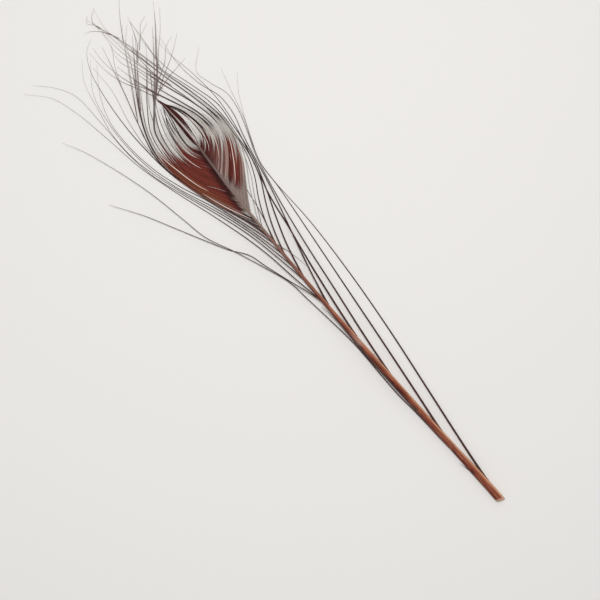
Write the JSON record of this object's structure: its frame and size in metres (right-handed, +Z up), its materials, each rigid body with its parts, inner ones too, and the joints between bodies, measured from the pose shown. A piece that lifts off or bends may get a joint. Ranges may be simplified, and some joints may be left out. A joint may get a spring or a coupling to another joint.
{
  "type": "stripped peacock eye feather",
  "caption": "Stripped peacock eye feather: a bare orange-brown shaft with long loose dark barbs and a brown and grey eye of fine barbs at its tip.",
  "frame": {"origin": "middle of the bottom of the feather's box, on the surface that it lies on", "axes": "+X along the feather from the cut end of the shaft to the tips, +Y to the feather's left, +Z up"},
  "size_m": [0.2303, 0.0667, 0.0048],
  "materials": {
    "shaft": "smooth horny keratin, satin",
    "barbs": "bare keratin barbs, satin",
    "eye_barbs": "fine parallel barbs, satin"
  },
  "bodies": {
    "root": {"feather": "barbs"}
  },
  "joints": []
}
